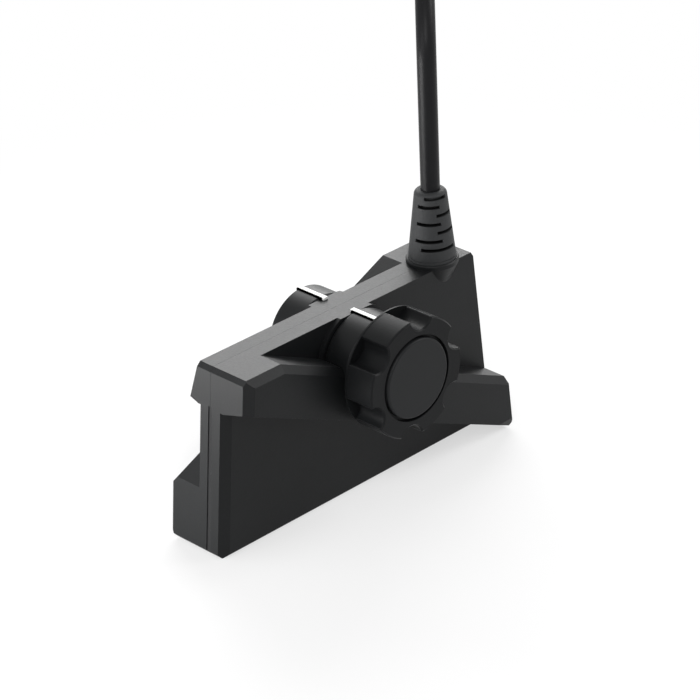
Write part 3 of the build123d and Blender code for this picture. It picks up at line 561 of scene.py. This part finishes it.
    def world(self, context):
        """White where it is seen, and a low even light on the object."""
        world = bpy.data.worlds.new("studio")
        world.use_nodes = True
        tree = world.node_tree
        tree.nodes.clear()
        level = add(tree, "ShaderNodeMapRange", {"Value": self.seen(tree), "To Min": 0.35, "To Max": 1.0})
        sky = add(tree, "ShaderNodeBackground", {"Color": (1, 1, 1, 1), "Strength": level.outputs[0]})
        add(tree, "ShaderNodeOutputWorld", {"Surface": sky.outputs[0]})
        context.scene.world = world


class TRANSDUCER_OT_lead(bpy.types.Operator):
    """The lead: free stretch, hank and the stretch to the plug, as one cord"""
    bl_idname = "transducer.lead"
    bl_label = "Lead and hank"

    def execute(self, context):
        # PVC jacket, extruded: smooth and slightly oily, so it shows a narrow bright line along its length.
        jacket = moulded("extruded PVC jacket", colours().jacket, 0.7, 0.012, (0.34, 0.46), tone=0.12,
                         Specular_IOR_Level=0.15)
        # One point more than in the source keeps the lead straight above the strain relief.
        line = [ROUTE[0], (*ROUTE[0][:2], 134), *ROUTE[1:], *hank_points(), *END_ROUTE]
        curve = bpy.data.curves.new("lead_line", "CURVE")
        curve.dimensions, curve.resolution_u = "3D", 8
        curve.bevel_depth, curve.bevel_resolution = sizes().lead_diameter / 2, 6
        curve.use_fill_caps = True
        spline = curve.splines.new("NURBS")
        spline.points.add(len(line) - 1)
        for point, place in zip(spline.points, line):
            point.co = (*(Vector(place) * MM), 1)
        spline.order_u = 3
        spline.use_endpoint_u = True
        curve.materials.append(jacket)
        lead = bpy.data.objects.new("lead_line", curve)
        context.scene.collection.objects.link(lead)
        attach(lead, "housing")
        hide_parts("lead", "lead_hank", "lead_end")
        paint("lead_inner", jacket)
        tie = self.strap(context)
        return {"FINISHED"}

    def strap(self, context):
        """The hook-and-loop strap round the hank."""
        # Woven nylon: dull, with ribs across the strap that catch a little light.
        material, tree = new_material("woven nylon strap")
        place = add(tree, "ShaderNodeTexCoord").outputs["Object"]
        parts = add(tree, "ShaderNodeSeparateXYZ", {0: place})
        along = add(tree, "ShaderNodeAttribute", attribute_name="along")
        rib = add(tree, "ShaderNodeMath", {0: along.outputs["Fac"], 1: math.tau / (0.9 * MM)},
                  operation="MULTIPLY")
        warp = add(tree, "ShaderNodeMath", {0: parts.outputs["X"], 1: math.tau / (0.7 * MM)},
                   operation="MULTIPLY")
        ribs = add(tree, "ShaderNodeMath", {0: rib.outputs[0]}, operation="SINE")
        warps = add(tree, "ShaderNodeMath", {0: warp.outputs[0]}, operation="SINE")
        weave = add(tree, "ShaderNodeMath", {0: ribs.outputs[0], 1: warps.outputs[0]}, operation="MULTIPLY")
        fuzz = add(tree, "ShaderNodeTexNoise", {"Vector": place, "Scale": 1 / (0.4 * MM), "Detail": 3.0})
        level = add(tree, "ShaderNodeMapRange", {"Value": weave.outputs[0], "From Min": -1, "From Max": 1})
        mixed = add(tree, "ShaderNodeMix", {0: level.outputs[0], 6: with_alpha(linear("0f0f10")),
                                            7: with_alpha(linear("2b2b2d"))}, data_type="RGBA")
        height = add(tree, "ShaderNodeMath", {0: level.outputs[0], 1: fuzz.outputs["Fac"]}, operation="ADD")
        bump = add(tree, "ShaderNodeBump", {"Height": height.outputs[0], "Distance": 0.12 * MM})
        rough = add(tree, "ShaderNodeMapRange", {"Value": fuzz.outputs["Fac"], "To Min": 0.7, "To Max": 0.95})
        finished(material, tree, mixed.outputs[2], rough.outputs[0], bump.outputs[0], Sheen_Weight=0.2)
        # Corners of the strap's middle line in mm, across and up. It slopes in at the top.
        over, low, slope = (sizes().lead_diameter + sizes().tie_thickness) / 2 / MM, 0.5, 8.9
        near, far, high = FOLD_Y - OUTER - over, FOLD_Y + OUTER + over, ROWS[-1] + over
        corners = [(near, low), (far, low), (far, high - slope), (far - slope, high), (near + slope, high),
                   (near, high - slope)]
        path = bpy.data.curves.new("strap_path", "CURVE")
        path.dimensions = "3D"
        loop = path.splines.new("POLY")
        loop.points.add(len(corners) - 1)
        for point, (across, height_mm) in zip(loop.points, corners):
            point.co = (across * MM, height_mm * MM, 0, 1)
        loop.use_cyclic_u = True
        mesh = grown("hank_strap", strap_tree(), {
            "Width": sizes().tie_width, "Thickness": sizes().tie_thickness, "Corner": over * MM,
            "Stitch": 1.3 * MM, "Place": Vector((sum(FOLD_X) / 2, 0, 0)) * MM, "Material": material}, path)
        tie = object_of("hank_strap", mesh, "housing", material)
        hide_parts("hank_tie")
        return tie


class TRANSDUCER_OT_housings(bpy.types.Operator):
    """The two housing halves and the gasket between them"""
    bl_idname = "transducer.housings"
    bl_label = "Housings and gasket"
    # How far the end faces lean, in degrees.
    END_LEAN = 5.7
    # In mm: how far from the seam its edges lie at most, and half the length of the hub seat's raised top.
    SEAM_REACH, SEAT_REACH = 0.7, 12

    def execute(self, context):
        # Glass-filled nylon, moulded in a finely eroded tool: near black, with a soft grey sheen.
        shell = moulded("moulded glass-filled nylon", colours().shell, 0.55, 0.010, (0.36, 0.46),
                        Specular_IOR_Level=0.15)
        # Planes that cut corners off, each given by a place in mm and the way out. On the near half they
        # make the broad facet on the wing's upper corner and the cut under its lower corner. The far half
        # has the same half a turn round. The lower edge of each end is ground off at about 45 degrees.
        lean = math.tan(math.radians(self.END_LEAN))
        corners = [((-65.7, -15.2, 0), (-1, -1, lean)), ((65.7, -18, 3.8), (0, -3.3, -1.25))]
        ground = [((-64.2, 0, 0), (-1, 0, lean - 1)), ((64.2, 0, 0), (1, 0, lean - 1))]
        for side, way in (("near", 1), ("far", -1)):
            turned_corners = [((x * way, y * way, z), (nx * way, ny * way, nz))
                              for (x, y, z), (nx, ny, nz) in corners]
            eased(side + "_housing", side + "_half", "housing", shell, sizes().edge_radius,
                  cuts=turned_corners + ground, shape=self.flush, seam=self.SEAM_REACH)
        # EPDM rubber, cut from sheet: dull. Its colour is painted a little lighter than the plastic that holds
        # it, to offset the shade in the seam.
        rubber = moulded("cut EPDM gasket", linear("1a1a1b"), 0.5, 0.02, (0.6, 0.75), Specular_IOR_Level=0.2)
        eased("seam_gasket", "gasket_band", "housing", rubber, None, cuts=ground)
        return {"FINISHED"}

    def flush(self, place):
        """The hub seat ends level with the slab's top."""
        if abs(place.x) < self.SEAT_REACH * MM:
            place.z = min(place.z, SLAB_TOP * MM)
        return place


class TRANSDUCER_OT_hub(bpy.types.Operator):
    """The two hub rings, their index marks, the seals and the sleeve"""
    bl_idname = "transducer.hub"
    bl_label = "Hub"
    # In mm, across and out from the seam: the root that carries a mark on to the slab, and the flat black
    # block beside it that paints the gap's shadow.
    ROOT_ACROSS, ROOT_OUT = (-1.3, 0.55), (6.25, 8.35)
    GAP_ACROSS, GAP_OUT = (-1.9, -1.3), (7.2, 18.9)
    ROOT_TOP, GAP_TOP = 68.85, 68.9

    def execute(self, context):
        # Acetal, moulded: a little smoother than the housings, so the ring's round shows a long soft light.
        ring = moulded("moulded acetal ring", colours().knob, 0.6, 0.006, (0.34, 0.42), tone=0.06,
                       Specular_IOR_Level=0.14)
        # Second-shot white resin, moulded flush: even and pale with hardly any gloss.
        mark = moulded("white second-shot resin", colours().mark, 0.4, 0.004, (0.4, 0.5), tone=0.02)
        # Nitrile rubber, moulded: black and dull, with a faint soft grain.
        seal = moulded("moulded nitrile seal", linear("1a1a1a"), 0.4, 0.01, (0.5, 0.65))
        # Painted shadow: a flat black block laid on the ring beside the mark stands for the shade in the gap
        # there.
        gap_shadow = moulded("painted shadow beside the mark", linear("030303"), 0.5, 0.01, (0.8, 0.9),
                      Specular_IOR_Level=0.0)
        for side, way in (("near", -1), ("far", 1)):
            eased(side + "_hub_ring", side + "_ring", "housing", ring, 0.5 * MM)
            paint(side + "_index_mark", mark)
            # The mark runs on to the slab, and a block of painted shadow runs along its left side.
            for name, across, out, top, material, slot in (
                    ("_mark_root", self.ROOT_ACROSS, self.ROOT_OUT, self.ROOT_TOP, mark, "index_mark"),
                    ("_mark_gap_shadow", self.GAP_ACROSS, self.GAP_OUT, self.GAP_TOP, gap_shadow, "hub_ring")):
                start, stop = sorted(way * reach for reach in out)
                low, high = (across[0], start, SLAB_TOP), (across[1], stop, top)
                block(side + name, low, high, "housing", material)
            paint(side + "_hub_seal", seal)
        # Brass, turned: warm and bright, with fine rings in the bore.
        paint("hub_sleeve", turned("turned brass sleeve", "c8a45a", "9a7838", HUB_CENTRE, 0.2, (0.22, 0.38)))
        # Acetal, stamped from sheet: flat and even, with a low sheen.
        paint("thrust_washer", moulded("stamped acetal washer", linear("1a1a1b"), 0.5, 0.006, (0.35, 0.45),
                                       Specular_IOR_Level=0.2))
        return {"FINISHED"}


class TRANSDUCER_OT_knob(bpy.types.Operator):
    """The hand knob, its cap, the stud with its thread, and the stud's clip"""
    bl_idname = "transducer.knob"
    bl_label = "Knob and stud"
    # The rim behind the flutes in mm: the radius past which its points lie, and how far from the knob's
    # back its two edges lie at most. Then the cone's radius at the back, and where the thin rim starts.
    RIM_INSIDE, BACK_EDGE, FRONT_EDGE = 20.5, 0.3, 1.0
    CONE_RADIUS, RIM_START = 17.6, 2.9
    # The thread in mm: where its stretch of the stud starts, and how far it keeps from that stretch's ends.
    THREAD_START, THREAD_FROM, THREAD_TO = 19.0, 0.9, 0.7
    # Radius of the thread's root, and of the three-sided ridge wound round it, in mm.
    THREAD_ROOT, THREAD_RIDGE = 3.45, 0.62

    def execute(self, context):
        # Nylon, moulded for the hand: a fine dull grain that takes hardly any shine. The cap is smoother.
        grip = moulded("moulded nylon grip", colours().knob, 0.6, 0.012, (0.38, 0.48), Specular_IOR_Level=0.1)
        cap = moulded("moulded nylon cap", linear("1f2021"), 0.45, 0.006, (0.40, 0.48), tone=0.04,
                      Specular_IOR_Level=0.12)
        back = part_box("knob")[1].y

        def thinned(place):
            """The rim that closes the flutes is thin, with a cone behind it."""
            flat = Vector((place.x, 0, place.z - HUB_CENTRE.z))
            reach, step = flat.length, place.y - back
            if reach > self.RIM_INSIDE * MM and step > -self.BACK_EDGE * MM:
                reach = self.CONE_RADIUS * MM
            elif reach > self.RIM_INSIDE * MM and step > -self.FRONT_EDGE * MM:
                step = -self.RIM_START * MM
            flat = flat.normalized() * reach
            return Vector((flat.x, back + step, flat.z + HUB_CENTRE.z))

        eased("knob", "knob_grip", "hand_knob", grip, None, shape=thinned)
        eased("knob_cap", "knob_cover", "hand_knob", cap, 0.3 * MM)
        # Stainless steel, turned: bright, with fine rings from the tool.
        steel = turned("turned stainless steel", "c9cacc", "9fa1a4", HUB_CENTRE, 0.15, (0.18, 0.34))
        paint("stud_clip", steel)
        self.stud(context, steel)
        return {"FINISHED"}

    def stud(self, context, steel):
        """The stud with its outer end cut down to the thread's root, and the thread's ridge round it."""
        start, root = self.THREAD_START * MM, self.THREAD_ROOT * MM
        # The step down to the root is half a millimetre long.
        step = 0.5 * MM
        work = merged("pivot_stud")
        for plane in (start, start + step):
            parts = work.verts[:] + work.edges[:] + work.faces[:]
            bmesh.ops.bisect_plane(work, geom=parts, plane_co=(0, plane, 0), plane_no=(0, 1, 0), dist=1e-7)
        for vert in work.verts:
            flat = Vector((vert.co.x, 0, vert.co.z - HUB_CENTRE.z))
            if vert.co.y > start + 0.8 * step and flat.length > root:
                flat = flat.normalized() * root
                vert.co = Vector((flat.x, vert.co.y, flat.z + HUB_CENTRE.z))
        mesh = bpy.data.meshes.new("stud_body")
        work.to_mesh(mesh)
        work.free()
        mesh.shade_smooth()
        mesh.set_sharp_from_angle(angle=math.radians(30))
        piece = object_of("stud_body", mesh, "hand_knob", steel)
        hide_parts("pivot_stud")
        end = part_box("pivot_stud")[1].y
        turns = grown("stud_thread", thread_tree(), {
            "Pitch": sizes().thread_pitch, "Length": end - start - (self.THREAD_FROM + self.THREAD_TO) * MM,
            "Root radius": root, "Ridge": self.THREAD_RIDGE * MM,
            "Place": HUB_CENTRE + Vector((0, start + self.THREAD_FROM * MM, 0)), "Material": steel})
        object_of("stud_thread", turns, "hand_knob", steel)


class TRANSDUCER_OT_relief(bpy.types.Operator):
    """The strain relief and the parts of the lead inside it"""
    bl_idname = "transducer.relief"
    bl_label = "Strain relief"
    # The boot's leaning side in mm: height and radius at its neck and at its top.
    NECK, TOP = (74.6, 7.85), (ROUTE[0][2], 5.55)
    # Depths in mm where a slot starts to darken and is darkest, and the height above which nothing does.
    SLOT_DEPTHS, SLOT_CEILING = (0.15, 0.8), 93

    def execute(self, context):
        # Thermoplastic elastomer, moulded on the lead: greyer and duller than the housings, with a dry grain.
        boot = moulded("overmoulded elastomer boot", colours().relief, 0.7, 0.03, (0.55, 0.7), tone=0.14,
                       Specular_IOR_Level=0.2)
        self.darken_slots(boot)
        eased("strain_relief", "relief_boot", "housing", boot, 0.25 * MM)
        # Brass, crimped: bright, with the short marks of the jaws.
        axis = Vector((ROUTE[0][0], 0, 0)) * MM
        paint("lead_ferrule", turned("crimped brass ferrule", "cdb06a", "9d8040", axis, 0.3, (0.25, 0.4)))
        # PVC, extruded over the cores: even red with a soft gloss.
        paint("lead_wires", moulded("extruded core insulation", linear("b23a30"), 0.4, 0.004, (0.3, 0.4)))
        return {"FINISHED"}

    def darken_slots(self, material):
        """Little light reaches the slots: the colour falls off with depth below the boot's leaning side."""
        tree = material.node_tree
        shader = next(node for node in tree.nodes if node.type == "BSDF_PRINCIPLED")
        colour = shader.inputs["Base Color"].links[0].from_socket
        place = add(tree, "ShaderNodeTexCoord").outputs["Object"]
        parts = add(tree, "ShaderNodeSeparateXYZ", {0: place})
        level = add(tree, "ShaderNodeCombineXYZ", {"Z": parts.outputs["Z"]})
        axis = add(tree, "ShaderNodeVectorMath", {0: level.outputs[0], 1: (ROUTE[0][0] * MM, 0, 0)},
                   operation="ADD")
        radius = add(tree, "ShaderNodeVectorMath", {0: place, 1: axis.outputs[0]}, operation="DISTANCE")
        skin = add(tree, "ShaderNodeMapRange", {
            "Value": parts.outputs["Z"], "From Min": self.NECK[0] * MM, "From Max": self.TOP[0] * MM,
            "To Min": self.NECK[1] * MM, "To Max": self.TOP[1] * MM}, clamp=False)
        depth = add(tree, "ShaderNodeMath", {0: skin.outputs[0], 1: radius.outputs["Value"]},
                    operation="SUBTRACT")
        lit = add(tree, "ShaderNodeMapRange", {
            "Value": depth.outputs[0], "From Min": self.SLOT_DEPTHS[0] * MM,
            "From Max": self.SLOT_DEPTHS[1] * MM, "To Min": 1.0, "To Max": 0.04})
        top = add(tree, "ShaderNodeMath", {0: parts.outputs["Z"], 1: self.SLOT_CEILING * MM},
                  operation="GREATER_THAN")
        kept = add(tree, "ShaderNodeMath", {0: lit.outputs[0], 1: top.outputs[0]}, operation="MAXIMUM")
        tint = add(tree, "ShaderNodeVectorMath", {0: colour, "Scale": kept.outputs[0]}, operation="SCALE")
        tree.links.new(tint.outputs[0], shader.inputs["Base Color"])


class TRANSDUCER_OT_plug(bpy.types.Operator):
    """The plug's body, locking ring, shell and contacts"""
    bl_idname = "transducer.plug"
    bl_label = "Plug"

    def execute(self, context):
        # Nylon, moulded: black and slightly glossier than the lead that enters it.
        black = moulded("moulded nylon plug", linear("1e1e20"), 0.5, 0.01, (0.35, 0.48),
                        Specular_IOR_Level=0.2)
        eased("plug_body", "plug_barrel", "housing", black, 0.3 * MM)
        eased("plug_ring", "plug_collar", "housing", black, 0.2 * MM)
        # Brass under nickel: pale and bright. Contacts under gold: yellow, and a little smoother.
        axis = Vector((0, *END_ROUTE[-1][1:])) * MM
        paint("plug_shell", turned("nickel-plated brass shell", "d2d0ca", "aaa8a2", axis, 0.3, (0.15, 0.28)))
        paint("plug_contacts", turned("gold-plated contacts", "e6c46a", "c49a3c", axis, 0.2, (0.15, 0.25)))
        return {"FINISHED"}


class TRANSDUCER_OT_inside(bpy.types.Operator):
    """The sound heads, board, chips and headers inside the housings"""
    bl_idname = "transducer.inside"
    bl_label = "Inner parts"

    def execute(self, context):
        # Urethane, cast: dark and smooth, with a soft gloss.
        window = moulded("cast urethane window", linear("3a3a3c"), 0.8, 0.004, (0.3, 0.4))
        # Piezo ceramic, fired and sawn: chalky, with fine dark cuts.
        ceramic = striped("sawn piezo ceramic", ("d8cfb4", "6b6350"), (1, 0, 0), 1.94, 0.25, (0.6, 0.75),
                          0.05)
        # Epoxy with metal powder, cast: grey and dry, in uneven tones.
        backing = moulded("filled epoxy backing", linear("5b5a57"), 0.3, 0.02, (0.6, 0.8), tone=0.2)
        for side in ("near", "far"):
            for level in ("high", "low"):
                paint(f"{side}_{level}_window", window)
                paint(f"{side}_{level}_ceramic", ceramic)
                paint(f"{side}_{level}_backing", backing)
        # Glass laminate under green resist: glossy, with the copper tracks showing through as paler lines.
        paint("main_board", striped("resist-coated laminate", ("1d5a35", "2f7a48"), (0.8, 0, 0.6), 1.2, 0.35,
                                    (0.25, 0.4), 0.02))
        # Epoxy, moulded round the chips: black and dull.
        paint("board_chips", moulded("moulded epoxy chips", linear("1c1c1d"), 0.3, 0.01, (0.5, 0.65)))
        # Nylon, moulded round the pins: cream, with darker rows.
        paint("array_headers", striped("moulded header strips", ("c9c2ac", "8f8a7a"), (0, 0, 1), 2.0, 0.5,
                                       (0.4, 0.55), 0.05))
        return {"FINISHED"}


class TRANSDUCER_PT_panel(bpy.types.Panel):
    """Sizes, colours and steps of the transducer's finish"""
    bl_idname = "TRANSDUCER_PT_panel"
    bl_label = "Transducer"
    bl_space_type = "VIEW_3D"
    bl_region_type = "UI"
    bl_category = "Transducer"

    def draw(self, context):
        for group in (context.scene.transducer_sizes, context.scene.transducer_colours):
            box = self.layout.box()
            for name in group.__annotations__:
                box.prop(group, name)
        for step in STEPS:
            self.layout.operator(step.bl_idname)


STEPS = (TRANSDUCER_OT_stage, TRANSDUCER_OT_plug, TRANSDUCER_OT_lead, TRANSDUCER_OT_housings,
         TRANSDUCER_OT_hub, TRANSDUCER_OT_knob, TRANSDUCER_OT_relief, TRANSDUCER_OT_inside)
CLASSES = (TransducerSizes, TransducerColours, *STEPS, TRANSDUCER_PT_panel)


def register():
    for kind in CLASSES:
        bpy.utils.register_class(kind)
    bpy.types.Scene.transducer_sizes = bpy.props.PointerProperty(type=TransducerSizes)
    bpy.types.Scene.transducer_colours = bpy.props.PointerProperty(type=TransducerColours)


def unregister():
    del bpy.types.Scene.transducer_colours
    del bpy.types.Scene.transducer_sizes
    for kind in reversed(CLASSES):
        bpy.utils.unregister_class(kind)


def main():
    register()
    for step in STEPS:
        group, name = step.bl_idname.split(".")
        getattr(getattr(bpy.ops, group), name)()


if __name__ == "__main__":
    main()
